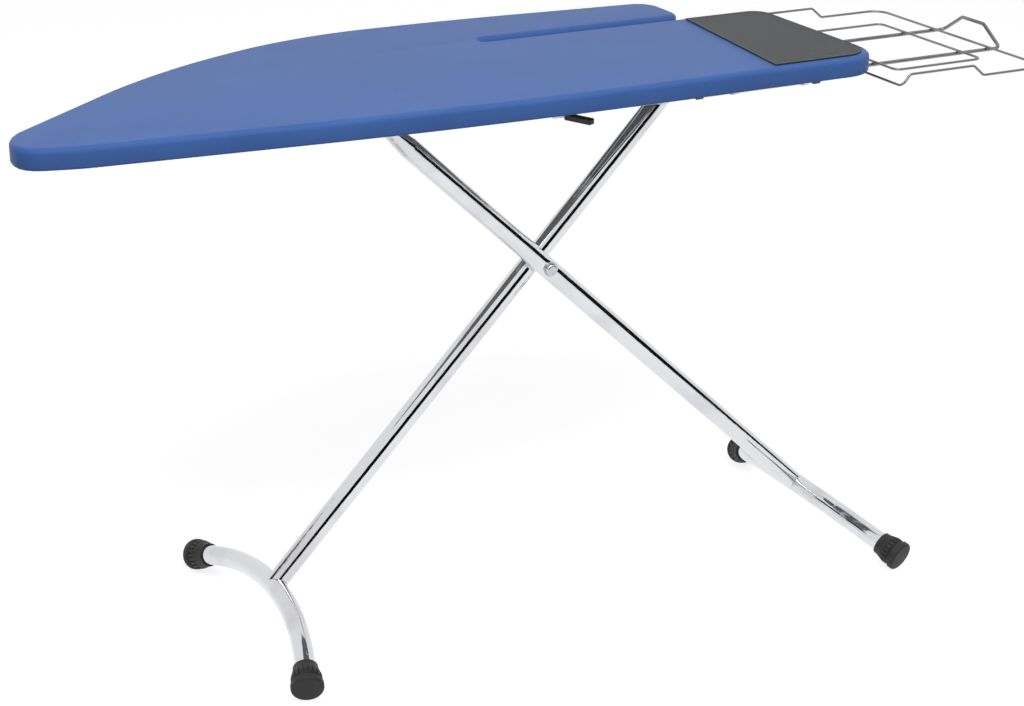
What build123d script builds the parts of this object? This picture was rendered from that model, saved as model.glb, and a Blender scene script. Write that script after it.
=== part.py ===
"""A folding ironing board with a sleeve board beside it, a wire iron rest and a crossed pair of legs.

Millimetres, +Z up, +X towards the iron rest and +Y towards the sleeve board.  The origin lies on the
floor under the middle of the whole outline.  Lengths along the board are given from its wide end.
"""
from build123d import *
from math import cos, radians, sin, sqrt, tan
import os

os.makedirs("parts", exist_ok=True)

# ---------------------------------------------------------------- board outline
board_height = 850          # top of the cover above the floor
board_length = 1333         # nose to wide end
near_half_width = 174       # widest point of the near edge, from the line of the legs
far_reach = 337             # crest of the far edge, from the line of the legs
end_near_half = 170         # near corner of the wide end
end_near_radius = 60
end_far_half = 174          # far corner of the wide end
end_far_radius = 40
nose_near_radius = 38
nose_far_radius = 75
slot_width = 22             # gap between the board and the sleeve board
slot_depth = 520            # wide end to the closed end of the slot
sleeve_setback = 142        # wide end to the tip of the sleeve board
sleeve_tip_half = 305       # far corner of the sleeve board's tip
sleeve_far_radius = 40
sleeve_near_radius = 25

# ---------------------------------------------------------------- layers of the board
cloth = 1.5                 # cover cloth
hem_width = 15              # cloth turned in under the edge
cover_edge_radius = 8
soft_gap = 0.3              # between cloth, felt and steel
felt_thickness = 8
mesh_thickness = 1.2
rim_height = 18
sheet = 1.5                 # pressed steel of rim, braces and rails
rim_flange = 14
rest_pad_thickness = 2.5
rest_pad_margin = 4         # pad's edge to the cover's edge
rest_pad_near = 195         # length of the pad on the near side
rest_pad_far = 155          # length of the pad on the far side
mesh_pitch_x = 70
mesh_pitch_y = 42
mesh_bar = 9                # steel left between the openings of the mesh
mesh_border = 34

# ---------------------------------------------------------------- cross braces
brace_width = 30
nose_brace_at = 1057        # from the wide end
hinge_brace_at = 788
middle_brace_at = 562
end_brace_at = 29
sleeve_brace_at = 307

# ---------------------------------------------------------------- legs
tube_diameter = 32
tube_wall = 1.5
leg_spacing = 42            # between the centre lines of the two legs
hinge_drop = 45             # leg hinge below the top of the cover
hinged_leg_angle = 43.7     # to the floor
sliding_leg_angle = 46.1
pivot_distance = 388        # hinge to pivot along the hinged leg
flat_length = 70            # flattened head of the hinged leg
flat_width = 42
flat_thickness = 18
foot_bend_radius = 480
foot_bend_angle = 25        # each half of the foot bar
foot_stub = 34              # straight end of the foot bar inside its cap
weld_gap = 0.2

# ---------------------------------------------------------------- rubber caps
cap_bore_gap = 0.1
cap_cover = 31              # length over the tube
cap_neck_radius = 19
cap_flare_radius = 23.5
cap_rim_radius = 25
cap_rim_width = 10
cap_end = 12                # rubber beyond the end of the tube
cap_edge_radius = 4
cap_groove = 2
cap_flutes = 20
cap_flute_radius = 2

# ---------------------------------------------------------------- hinge of the hinged leg
running_gap = 0.05
hinge_rod_diameter = 12
hinge_sleeve_diameter = 20
hinge_ear_span = 130        # between the two ears
ear_thickness = 3
ear_radius = 14
hinge_base_length = 34
side_gap = 0.5
clip_thickness = 2
clip_rim = 3

# ---------------------------------------------------------------- rails and sliding bar
bar_diameter = 16
glide_diameter = 24
glide_width = 12
glide_play = 2              # under the glide in its rail
rail_span = 132             # over the outside of the two rails
rail_flange = 18
plug_thickness = 2

# ---------------------------------------------------------------- pivot
bolt_diameter = 8
bolt_head_radius = 10
bolt_head_height = 6
washer_radius = 12
washer_thickness = 1.5
nut_flats = 13
nut_thickness = 7
spacer_radius = 13

# ---------------------------------------------------------------- release lever
lever_at = 518              # from the wide end
lever_shaft_diameter = 6
lever_shaft_offset = 72     # towards the near edge from the line of the legs
lever_shaft_drop = 57.5     # below the top of the cover
lever_shaft_from = 547
lever_shaft_to = 47
lever_tip_offset = 130
lever_slant = 25            # of the lever towards the wide end, from square across the board
lever_arm_width = 7
lever_arm_thickness = 4
grip_width = 12
grip_thickness = 9
grip_length = 48
grip_edge_radius = 2.5
shaft_collar_radius = 5.5
catch_offset = 44
catch_thickness = 3
catch_arm_thickness = 3
catch_arm_drop = 1          # between the catch arms and the near guide rail
catch_from = 372
catch_to = 42
catch_teeth = 9
catch_clear = 2
catch_depth = 7
tooth_height = 8
tooth_length = 14
catch_arms_at = (337, 207, 77)
catch_arm_width = 8
bearings_at = (497, 272, 57)
bearing_plate = 3
bearing_width = 22
bearing_radius = 6
bearing_length = 10

# ---------------------------------------------------------------- wire iron rest
rail_wire = 6
thin_wire = 4
rest_rail_drop = 44         # centre of the thick wires below the top of the cover
rest_rail_half = 73.6
rest_rail_inside = 265      # length of the thick wires under the board
rest_rail_reach = 303       # stop's top wire beyond the wide end
rest_stop_foot = 300
rest_stop_half = 28
rest_stop_height = 30
wire_bend = 9
tray_half = 220
tray_start = 2              # inner cross wire short of the wide end
tray_reach = 275
tray_corner_radius = 26
guard_start = 12
guard_stop = 133
guard_end = 153
guard_rise = 17
inner_half = 135
inner_start = 50
inner_reach = 216
inner_corner_radius = 12
guide_width = 16
guide_length = 20
guide_wall = 5
guide_inner_at = 157
guide_outer_at = 29
collar_at = 250
collar_radius = 5.5
collar_length = 10

# ---------------------------------------------------------------- small fasteners
screw_head_radius = 4
screw_head_height = 2
screw_shank_radius = 2.5
rivet_spacing = 16

# ---------------------------------------------------------------- worked out from the sizes
rest_reach = rest_rail_reach + rail_wire / 2
overall_length = board_length + rest_reach
end_x = overall_length / 2 - rest_reach
nose_x = end_x - board_length
foot_half_span = foot_bend_radius * sin(radians(foot_bend_angle)) + foot_stub * cos(radians(foot_bend_angle))
foot_reach = (
    foot_half_span
    + (cap_end - cap_edge_radius) * cos(radians(foot_bend_angle))
    + (cap_rim_radius - cap_edge_radius) * sin(radians(foot_bend_angle))
    + cap_edge_radius
)
near_limit = max(leg_spacing / 2 + foot_reach, tray_half + thin_wire / 2, near_half_width)
leg_line = (near_limit - far_reach) / 2

cover_top = board_height
felt_top = cover_top - cloth - soft_gap
mesh_top = felt_top - felt_thickness
rim_top = mesh_top - mesh_thickness
rim_bottom = rim_top - rim_height
cover_bottom = rim_bottom - soft_gap - cloth
brace_bottom = rim_bottom + sheet
rim_inset = cloth + soft_gap

hinge_x = end_x - hinge_brace_at
hinge_z = cover_top - hinge_drop
hinged_leg_y = leg_line - leg_spacing / 2
sliding_leg_y = leg_line + leg_spacing / 2
tube_radius = tube_diameter / 2
foot_rise = foot_bend_radius * (1 - cos(radians(foot_bend_angle))) + foot_stub * sin(radians(foot_bend_angle))
slide_distance = pivot_distance * sin(radians(hinged_leg_angle)) / sin(radians(sliding_leg_angle))
pivot_x = hinge_x + pivot_distance * cos(radians(hinged_leg_angle))
pivot_z = hinge_z - pivot_distance * sin(radians(hinged_leg_angle))
bar_x = pivot_x + slide_distance * cos(radians(sliding_leg_angle))
bar_z = hinge_z
folded_bar_x = hinge_x + pivot_distance + slide_distance
rest_rail_z = cover_top - rest_rail_drop
thin_wire_z = rest_rail_z + rail_wire / 2 + thin_wire / 2


def leg_length(leg_angle):
    """Hinge to the middle of the foot bar, so that the rims of both caps just touch the floor."""
    dip = sin(radians(foot_bend_angle)) * sin(radians(leg_angle))
    rim_height_above = (cap_rim_radius - cap_edge_radius) * sqrt(1 - dip**2) + cap_edge_radius
    tip_height = rim_height_above + (cap_end - cap_edge_radius) * dip
    return (hinge_z - tip_height) / sin(radians(leg_angle)) - foot_rise


def corner_radii(points, wanted):
    """Fillet radii for a closed outline: None asks for the largest that its two sides allow."""
    radii = []
    count = len(points)
    for i, (point, radius) in enumerate(zip(points, wanted)):
        before = Vector(*points[i - 1]) - Vector(*point)
        after = Vector(*points[(i + 1) % count]) - Vector(*point)
        half_turn = radians(180 - before.get_angle(after)) / 2
        largest = 0.49 * min(before.length, after.length) / tan(half_turn)
        radii.append(largest if radius is None else min(radius, largest))
    return radii


outline_points = [
    (nose_x, leg_line - 100),
    (nose_x + 76, leg_line - 121),
    (nose_x + 646, leg_line - near_half_width),
    (end_x, leg_line - end_near_half),
    (end_x, leg_line + end_far_half),
    (end_x - slot_depth, leg_line + end_far_half),
    (end_x - slot_depth, leg_line + end_far_half + slot_width),
    (end_x - sleeve_setback, leg_line + end_far_half + slot_width),
    (end_x - sleeve_setback, leg_line + sleeve_tip_half),
    (end_x - 517, leg_line + far_reach),
    (nose_x + 554, leg_line + far_reach),
    (nose_x + 287, leg_line + 218),
    (nose_x, leg_line - 29),
]
slot_end_radius = slot_width / 2 - 0.1
outline_radii = corner_radii(
    outline_points,
    [nose_near_radius, 250, None, end_near_radius, end_far_radius, slot_end_radius, slot_end_radius,
     sleeve_near_radius, sleeve_far_radius, None, None, None, nose_far_radius],
)
with BuildSketch() as outline:
    with BuildLine():
        FilletPolyline(*outline_points, radius=outline_radii, close=True)
    make_face()


def outline_at(height, inset):
    """The board's outline on the level of height, drawn in by inset."""
    with BuildSketch(Plane.XY.offset(height)) as level:
        add(outline.sketch)
        if inset:
            offset(amount=-inset)
    return level.sketch


def save(solid, name):
    """Label one finished piece and write it under its own name."""
    solid.label = name
    export_step(solid, f"parts/{name}.step")


def tilted(angle, towards):
    """Unit vector down a leg that leans by angle, running towards +X or -X."""
    return Vector(towards * cos(radians(angle)), 0, -sin(radians(angle)))


hinged_dir = tilted(hinged_leg_angle, 1)
sliding_dir = tilted(sliding_leg_angle, -1)
hinge_point = Vector(hinge_x, hinged_leg_y, hinge_z)
bar_point = Vector(bar_x, sliding_leg_y, bar_z)
hinged_length = leg_length(hinged_leg_angle)
sliding_length = leg_length(sliding_leg_angle)
hinged_plane = Plane(origin=hinge_point, x_dir=(0, 1, 0), z_dir=hinged_dir)
sliding_plane = Plane(origin=bar_point, x_dir=(0, 1, 0), z_dir=sliding_dir)
rail_bottom = bar_z - glide_diameter / 2 - glide_play - sheet
rail_height = brace_bottom - rail_bottom
rail_outside = rail_span / 2
rail_start_x = end_x - middle_brace_at - brace_width / 2
rail_end_x = end_x - rim_inset - rim_flange - 2
lever_shaft_y = leg_line - lever_shaft_offset
lever_shaft_z = cover_top - lever_shaft_drop
lever_x = end_x - lever_at

# ---------------------------------------------------------------- soft layers
with BuildPart() as cover_pocket:
    extrude(outline_at(cover_bottom + cloth, cloth), amount=cover_top - cover_bottom - 2 * cloth)
    fillet(cover_pocket.faces().sort_by(Axis.Z)[-1].edges(), cover_edge_radius - cloth)

with BuildPart() as board_cover:
    extrude(outline_at(cover_bottom, 0), amount=cover_top - cover_bottom)
    fillet(board_cover.faces().sort_by(Axis.Z)[-1].edges(), cover_edge_radius)
    add(cover_pocket.part, mode=Mode.SUBTRACT)
    extrude(outline_at(cover_bottom, hem_width), amount=cloth, mode=Mode.SUBTRACT)
save(board_cover.part, "board_cover")

with BuildPart() as felt_underlay:
    extrude(outline_at(mesh_top, rim_inset), amount=felt_thickness)
    fillet(felt_underlay.faces().sort_by(Axis.Z)[-1].edges(), cover_edge_radius - rim_inset)
save(felt_underlay.part, "felt_underlay")

with BuildPart() as iron_rest_pad:
    with BuildSketch(Plane.XY.offset(cover_top)):
        add(outline_at(0, cover_edge_radius + rest_pad_margin))
        with BuildLine():
            Polyline(
                (end_x - rest_pad_near, leg_line - near_half_width),
                (end_x, leg_line - near_half_width),
                (end_x, leg_line + end_far_half),
                (end_x - rest_pad_far, leg_line + end_far_half),
                close=True,
            )
        make_face(mode=Mode.INTERSECT)
    extrude(amount=rest_pad_thickness)
    chamfer(iron_rest_pad.faces().sort_by(Axis.Z)[-1].edges(), rest_pad_thickness / 3)
save(iron_rest_pad.part, "iron_rest_pad")

# ---------------------------------------------------------------- steel top
with BuildPart() as board_rim:
    extrude(outline_at(rim_bottom, rim_inset), amount=rim_height)
    extrude(outline_at(rim_bottom, rim_inset + rim_flange), amount=rim_height, mode=Mode.SUBTRACT)
    extrude(outline_at(brace_bottom, rim_inset + sheet), amount=rim_height - 2 * sheet, mode=Mode.SUBTRACT)
save(board_rim.part, "board_rim")

mesh_field = outline_at(0, rim_inset + mesh_border).faces()[0]
mesh_centres = []
for column in range(int(board_length / mesh_pitch_x * 2) + 1):
    for row in range(int((near_half_width + far_reach) / mesh_pitch_y) + 2):
        spot_x = nose_x + column * mesh_pitch_x / 2
        spot_y = leg_line - near_half_width + (row + column % 2 / 2) * mesh_pitch_y
        if mesh_field.is_inside(Vector(spot_x, spot_y, 0)):
            mesh_centres.append((spot_x, spot_y))
diamond_x = (mesh_pitch_x - mesh_bar * mesh_pitch_x / mesh_pitch_y) / 2
diamond_y = (mesh_pitch_y - mesh_bar) / 2
with BuildPart() as board_mesh:
    with BuildSketch(Plane.XY.offset(rim_top)):
        add(outline_at(0, rim_inset))
        with Locations(*mesh_centres):
            Polygon(
                (-diamond_x, 0), (0, -diamond_y), (diamond_x, 0), (0, diamond_y),
                align=None, mode=Mode.SUBTRACT,
            )
    extrude(amount=mesh_thickness)
save(board_mesh.part, "board_mesh")
print("mesh openings", len(mesh_centres))


# ---------------------------------------------------------------- cross braces
def brace(at, y_from, y_to, name, rivet_spots):
    """A rectangular tube across the board, cut to the inside of the rim, with holes for its rivets."""
    length = y_to - y_from
    centre = (end_x - at, (y_from + y_to) / 2, brace_bottom + rim_height / 2 - sheet)
    height = rim_height - 2 * sheet
    with BuildPart() as tube:
        extrude(outline_at(brace_bottom, rim_inset + sheet + soft_gap), amount=height)
        with Locations(centre):
            Box(brace_width, length, height, mode=Mode.INTERSECT)
            Box(brace_width - 2 * sheet, length + 1, height - 2 * sheet, mode=Mode.SUBTRACT)
        if rivet_spots:
            with Locations(*[(x, y, brace_bottom) for x, y in rivet_spots]):
                Cylinder(screw_shank_radius, 3 * sheet, mode=Mode.SUBTRACT)
    save(tube.part, name)
    return tube.part


ear_y = hinge_ear_span / 2 + ear_thickness / 2
base_rivets = [
    (hinge_x + step * rivet_spacing / 2, leg_line + side * (ear_y + 14))
    for side in (-1, 1) for step in (-1, 1)
]
rail_middle = rail_outside - rail_flange / 2
rail_rivet_spots = [
    (end_x - at, leg_line + side * rail_middle)
    for at in (middle_brace_at, end_brace_at) for side in (-1, 1)
]
board_near = leg_line - near_half_width
board_far = leg_line + far_reach
sleeve_near = leg_line + end_far_half + slot_width
brace(nose_brace_at, board_near, board_far, "nose_brace", [])
brace(hinge_brace_at, board_near, board_far, "hinge_brace", base_rivets)
brace(middle_brace_at, board_near, board_far, "middle_brace", rail_rivet_spots[:2])
brace(end_brace_at, board_near, leg_line + end_far_half, "end_brace", rail_rivet_spots[2:])
brace(sleeve_brace_at, sleeve_near, board_far, "sleeve_brace", [])


# ---------------------------------------------------------------- hinge of the hinged leg
def hinge_bracket(side, name):
    """A flat foot under the hinge brace with an ear that carries the hinge rod."""
    y_ear = leg_line + side * ear_y
    base_span = 30
    with BuildPart() as bracket:
        with Locations((hinge_x, y_ear + side * (base_span - ear_thickness) / 2, brace_bottom - ear_thickness / 2)):
            Box(hinge_base_length, base_span, ear_thickness)
        with BuildSketch(Plane.XZ.offset(-y_ear)):
            with Locations((hinge_x, (hinge_z + brace_bottom) / 2)):
                Rectangle(2 * ear_radius, brace_bottom - hinge_z)
            with Locations((hinge_x, hinge_z)):
                Circle(ear_radius)
        extrude(amount=ear_thickness / 2, both=True)
        with BuildSketch(Plane.XZ.offset(-y_ear)):
            with Locations((hinge_x, hinge_z)):
                Circle(hinge_rod_diameter / 2 + running_gap)
        extrude(amount=ear_thickness, both=True, mode=Mode.SUBTRACT)
        with Locations(*[(x, y, brace_bottom - ear_thickness / 2) for x, y in base_rivets]):
            Cylinder(screw_shank_radius, 2 * ear_thickness, mode=Mode.SUBTRACT)
    save(bracket.part, name)


hinge_bracket(-1, "hinge_bracket_near")
hinge_bracket(1, "hinge_bracket_far")


def rivets(spots, low, high, name):
    """Rivets that hang head down, from the level of low up to high."""
    with BuildPart() as group:
        with Locations(*[(x, y, low) for x, y in spots]):
            Cylinder(screw_shank_radius, high - low, align=(Align.CENTER, Align.CENTER, Align.MIN))
            Cylinder(screw_head_radius, screw_head_height, align=(Align.CENTER, Align.CENTER, Align.MAX))
    save(group.part, name)


rivets(base_rivets, brace_bottom - ear_thickness, brace_bottom + sheet, "bracket_rivets")
rivets(rail_rivet_spots, brace_bottom - sheet, brace_bottom + sheet, "rail_rivets")

rod_half = hinge_ear_span / 2 + ear_thickness + side_gap + clip_thickness + clip_rim / 2
across_hinge = Plane(origin=(hinge_x, leg_line, hinge_z), x_dir=(1, 0, 0), z_dir=(0, -1, 0))
with BuildPart() as hinge_rod:
    with BuildSketch(across_hinge):
        Circle(hinge_rod_diameter / 2)
    extrude(amount=rod_half, both=True)
    chamfer(hinge_rod.edges(), 1)
save(hinge_rod.part, "hinge_rod")

with BuildPart() as hinge_sleeve:
    with BuildSketch(across_hinge):
        Circle(hinge_sleeve_diameter / 2)
        Circle(hinge_rod_diameter / 2, mode=Mode.SUBTRACT)
    extrude(amount=hinge_ear_span / 2 - side_gap, both=True)
save(hinge_sleeve.part, "hinge_sleeve")

with BuildPart() as hinge_rod_clips:
    for side in (-1, 1):
        clip_y = side * (hinge_ear_span / 2 + ear_thickness + side_gap)
        with BuildSketch(across_hinge.offset(-clip_y)):
            Circle(hinge_rod_diameter / 2 + clip_rim)
            Circle(hinge_rod_diameter / 2, mode=Mode.SUBTRACT)
        extrude(amount=-side * clip_thickness)
save(hinge_rod_clips.part, "hinge_rod_clips")


# ---------------------------------------------------------------- foot bars and their caps
def foot_plane(top, direction, length):
    """Plane of a foot bar: x across the board, y on down the leg, origin where the leg meets it."""
    across = Vector(0, 1, 0)
    return Plane(origin=top + direction * length, x_dir=across, z_dir=across.cross(direction))


def foot_bar(plane, radius, inner):
    """The bent tube of one pair of feet, or its solid outside when inner is 0."""
    bend_x = foot_bend_radius * sin(radians(foot_bend_angle))
    bend_y = foot_bend_radius * (1 - cos(radians(foot_bend_angle)))
    with BuildPart() as bar:
        with BuildLine(plane) as path:
            Polyline((-foot_half_span, foot_rise), (-bend_x, bend_y))
            ThreePointArc((-bend_x, bend_y), (0, 0), (bend_x, bend_y))
            Polyline((bend_x, bend_y), (foot_half_span, foot_rise))
        with BuildSketch(Plane(origin=path.wire() @ 0, z_dir=path.wire() % 0)):
            Circle(radius)
            if inner:
                Circle(inner, mode=Mode.SUBTRACT)
        sweep(path=path.wire())
    return bar.part


def foot_cap(plane, side, name):
    """A fluted rubber cap pushed over one end of a foot bar, its rim on the floor."""
    angle = radians(foot_bend_angle)
    axis = plane.x_dir * (side * cos(angle)) + plane.y_dir * sin(angle)
    end = plane.from_local_coords(Vector(side * foot_half_span, foot_rise, 0))
    bore = tube_radius + cap_bore_gap
    groove = cap_flare_radius - cap_groove
    with BuildPart() as cap:
        with BuildSketch(Plane(origin=end, x_dir=plane.z_dir, z_dir=plane.z_dir.cross(axis))) as profile:
            with BuildLine():
                Polyline(
                    (0, cap_end), (0, 0), (bore, 0), (bore, -cap_cover), (cap_neck_radius, -cap_cover),
                    (cap_neck_radius + 0.5, 0.8 * -cap_cover), (cap_flare_radius, 0.35 * -cap_cover),
                    (cap_flare_radius, 0.15 * -cap_cover), (groove, 0.08 * -cap_cover), (groove, 0),
                    (cap_rim_radius, cap_end - cap_rim_width), (cap_rim_radius, cap_end),
                    close=True,
                )
            make_face()
            fillet(profile.vertices().group_by(Axis.X)[-1].sort_by(Axis.Y)[-1], cap_edge_radius)
        revolve(axis=Axis(end, axis))
        with BuildSketch(Plane(origin=end - axis * cap_cover, z_dir=axis)):
            with PolarLocations(cap_flare_radius + 2, cap_flutes):
                Rectangle(2 * cap_flute_radius + 4, cap_flute_radius)
        extrude(amount=0.85 * cap_cover, mode=Mode.SUBTRACT)
    save(cap.part, name)


hinged_foot_plane = foot_plane(hinge_point, hinged_dir, hinged_length)
sliding_foot_plane = foot_plane(bar_point, sliding_dir, sliding_length)
hinged_leg_foot_bar = foot_bar(hinged_foot_plane, tube_radius, tube_radius - tube_wall)
sliding_leg_foot_bar = foot_bar(sliding_foot_plane, tube_radius, tube_radius - tube_wall)
save(hinged_leg_foot_bar, "hinged_leg_foot_bar")
save(sliding_leg_foot_bar, "sliding_leg_foot_bar")
hinged_cope = foot_bar(hinged_foot_plane, tube_radius + weld_gap, 0)
sliding_cope = foot_bar(sliding_foot_plane, tube_radius + weld_gap, 0)
foot_cap(hinged_foot_plane, -1, "hinged_leg_cap_near")
foot_cap(hinged_foot_plane, 1, "hinged_leg_cap_far")
foot_cap(sliding_foot_plane, -1, "sliding_leg_cap_near")
foot_cap(sliding_foot_plane, 1, "sliding_leg_cap_far")

# ---------------------------------------------------------------- hinged leg
across_pivot = Plane(origin=(pivot_x, leg_line, pivot_z), x_dir=(1, 0, 0), z_dir=(0, -1, 0))
with BuildPart() as hinged_leg_tube:
    with BuildSketch(hinged_plane):
        Ellipse(flat_width / 2, flat_thickness / 2)
    with BuildSketch(hinged_plane.offset(flat_length)):
        Circle(tube_radius)
    loft()
    with BuildSketch(hinged_plane.offset(flat_length)):
        Circle(tube_radius)
    extrude(amount=hinged_length - flat_length)
    with BuildSketch(hinged_plane):
        Ellipse(flat_width / 2 - tube_wall, flat_thickness / 2 - tube_wall)
    with BuildSketch(hinged_plane.offset(flat_length)):
        Circle(tube_radius - tube_wall)
    loft(mode=Mode.SUBTRACT)
    with BuildSketch(hinged_plane.offset(flat_length)):
        Circle(tube_radius - tube_wall)
    extrude(amount=hinged_length - flat_length, mode=Mode.SUBTRACT)
    add(hinged_cope, mode=Mode.SUBTRACT)
    with BuildSketch(across_hinge):
        Circle(hinge_sleeve_diameter / 2 + weld_gap)
    extrude(amount=hinge_ear_span, both=True, mode=Mode.SUBTRACT)
    with BuildSketch(across_pivot):
        Circle(bolt_diameter / 2)
    extrude(amount=2 * leg_spacing, both=True, mode=Mode.SUBTRACT)
save(hinged_leg_tube.part, "hinged_leg_tube")

# ---------------------------------------------------------------- sliding leg
across_bar = Plane(origin=(bar_x, leg_line, bar_z), x_dir=(1, 0, 0), z_dir=(0, -1, 0))
tube_over_bar = bar_diameter / 2 + plug_thickness + 1
with BuildPart() as sliding_leg_tube:
    with BuildSketch(sliding_plane.offset(-tube_over_bar)):
        Circle(tube_radius)
        Circle(tube_radius - tube_wall, mode=Mode.SUBTRACT)
    extrude(amount=sliding_length + tube_over_bar)
    add(sliding_cope, mode=Mode.SUBTRACT)
    with BuildSketch(across_bar):
        Circle(bar_diameter / 2)
    extrude(amount=rail_span, both=True, mode=Mode.SUBTRACT)
    with BuildSketch(across_pivot):
        Circle(bolt_diameter / 2 + running_gap)
    extrude(amount=2 * leg_spacing, both=True, mode=Mode.SUBTRACT)
save(sliding_leg_tube.part, "sliding_leg_tube")

with BuildPart() as sliding_leg_plug:
    with BuildSketch(sliding_plane.offset(-tube_over_bar)):
        Circle(tube_radius - tube_wall)
    extrude(amount=plug_thickness)
save(sliding_leg_plug.part, "sliding_leg_plug")

with BuildPart() as top_bar:
    with BuildSketch(across_bar):
        Circle(bar_diameter / 2)
    extrude(amount=rail_outside - sheet - side_gap, both=True)
    chamfer(top_bar.edges(), 1)
save(top_bar.part, "top_bar")


def glide(side, name):
    """A plastic wheel on one end of the sliding leg's top bar, inside its guide rail."""
    middle = side * (rail_outside - sheet - side_gap - 2 - glide_width / 2)
    with BuildPart() as wheel:
        with BuildSketch(across_bar.offset(-middle)):
            Circle(glide_diameter / 2)
            Circle(bar_diameter / 2, mode=Mode.SUBTRACT)
        extrude(amount=glide_width / 2, both=True)
        chamfer(wheel.edges().sort_by(SortBy.LENGTH)[-2:], 1)
    save(wheel.part, name)


glide(-1, "glide_near")
glide(1, "glide_far")

# ---------------------------------------------------------------- pivot of the two legs
near_face = leg_spacing / 2 + tube_radius
far_face = near_face + soft_gap
with BuildPart() as pivot_washers:
    with BuildSketch(across_pivot.offset(near_face)):
        Circle(washer_radius)
        Circle(bolt_diameter / 2, mode=Mode.SUBTRACT)
    extrude(amount=washer_thickness)
    with BuildSketch(across_pivot.offset(-far_face)):
        Circle(washer_radius)
        Circle(bolt_diameter / 2, mode=Mode.SUBTRACT)
    extrude(amount=-washer_thickness)
save(pivot_washers.part, "pivot_washers")

with BuildPart() as pivot_bolt:
    with BuildSketch(across_pivot.offset(near_face + washer_thickness)):
        Circle(bolt_diameter / 2)
    extrude(amount=-(near_face + far_face + 2 * washer_thickness + nut_thickness + 1))
    with BuildSketch(across_pivot.offset(near_face + washer_thickness)):
        Circle(bolt_head_radius)
    extrude(amount=bolt_head_height)
    fillet(pivot_bolt.faces().sort_by(Axis.Y)[0].edges(), 0.7 * bolt_head_height)
save(pivot_bolt.part, "pivot_bolt")

with BuildPart() as pivot_nut:
    with BuildSketch(across_pivot.offset(-far_face - washer_thickness)):
        RegularPolygon(nut_flats / 2, 6, major_radius=False)
        Circle(bolt_diameter / 2, mode=Mode.SUBTRACT)
    extrude(amount=-nut_thickness)
save(pivot_nut.part, "pivot_nut")

with BuildPart() as pivot_spacer:
    with BuildSketch(across_pivot.offset(tube_radius - leg_spacing / 2)):
        Circle(spacer_radius)
        Circle(bolt_diameter / 2 + running_gap, mode=Mode.SUBTRACT)
    extrude(amount=leg_spacing - tube_diameter - soft_gap)
save(pivot_spacer.part, "pivot_spacer")

# ---------------------------------------------------------------- guide rails
guide_screw_z = brace_bottom - 7
guides_at = (guide_inner_at, guide_outer_at)


def guide_rail(side, name):
    """A channel under the board, open towards the legs, in which the sliding leg's top bar runs."""
    holes = [end_x - at for at in guides_at]
    if side < 0:
        holes += [end_x - at for at in bearings_at]
    middle = leg_line + side * rail_middle
    with BuildPart() as rail:
        with BuildSketch(Plane.YZ.offset(rail_start_x)):
            with Locations((middle, (rail_bottom + brace_bottom) / 2)):
                Rectangle(rail_flange, rail_height)
            with Locations((middle - side * sheet, (rail_bottom + brace_bottom) / 2)):
                Rectangle(rail_flange, rail_height - 2 * sheet, mode=Mode.SUBTRACT)
        extrude(amount=rail_end_x - rail_start_x)
        with Locations(*[(end_x - at, middle, brace_bottom) for at in (middle_brace_at, end_brace_at)]):
            Cylinder(screw_shank_radius, 4 * sheet, mode=Mode.SUBTRACT)
        with Locations(*[(x, leg_line + side * rail_outside, guide_screw_z) for x in holes]):
            Cylinder(screw_shank_radius, 4 * sheet, rotation=(90, 0, 0), mode=Mode.SUBTRACT)
    save(rail.part, name)


guide_rail(-1, "guide_rail_near")
guide_rail(1, "guide_rail_far")


def side_screws(spots, thickness, name):
    """Screws from the outside of the rails through a piece of thickness and the rail's web."""
    with BuildPart() as group:
        for x, side in spots:
            outer = leg_line + side * (rail_outside + thickness)
            with BuildSketch(Plane(origin=(x, outer, guide_screw_z), x_dir=(1, 0, 0), z_dir=(0, side, 0))):
                Circle(screw_shank_radius)
            extrude(amount=-thickness - sheet)
            with BuildSketch(Plane(origin=(x, outer, guide_screw_z), x_dir=(1, 0, 0), z_dir=(0, side, 0))):
                Circle(screw_head_radius)
            extrude(amount=screw_head_height)
    save(group.part, name)


side_screws([(end_x - at, side) for at in guides_at for side in (-1, 1)], guide_width, "guide_screws")
side_screws([(end_x - at, -1) for at in bearings_at], bearing_plate, "bearing_screws")


def rest_guide(at, side, name):
    """A plastic block on the outside of a guide rail, bored for one thick wire of the iron rest."""
    low = rest_rail_z - rail_wire / 2 - guide_wall
    middle = leg_line + side * (rail_outside + guide_width / 2)
    with BuildPart() as block:
        with Locations((end_x - at, middle, (low + brace_bottom) / 2)):
            Box(guide_length, guide_width, brace_bottom - low)
        chamfer(block.faces().sort_by(Axis.Z)[0].edges().filter_by(Axis.X), 2)
        with Locations((end_x - at, leg_line + side * rest_rail_half, rest_rail_z)):
            Cylinder(rail_wire / 2 + running_gap, 2 * guide_length, rotation=(0, 90, 0), mode=Mode.SUBTRACT)
        with Locations((end_x - at, middle, guide_screw_z)):
            Cylinder(screw_shank_radius, 2 * guide_width, rotation=(90, 0, 0), mode=Mode.SUBTRACT)
    save(block.part, name)


rest_guide(guide_inner_at, -1, "rest_guide_near_inner")
rest_guide(guide_outer_at, -1, "rest_guide_near_outer")
rest_guide(guide_inner_at, 1, "rest_guide_far_inner")
rest_guide(guide_outer_at, 1, "rest_guide_far_outer")


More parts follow.
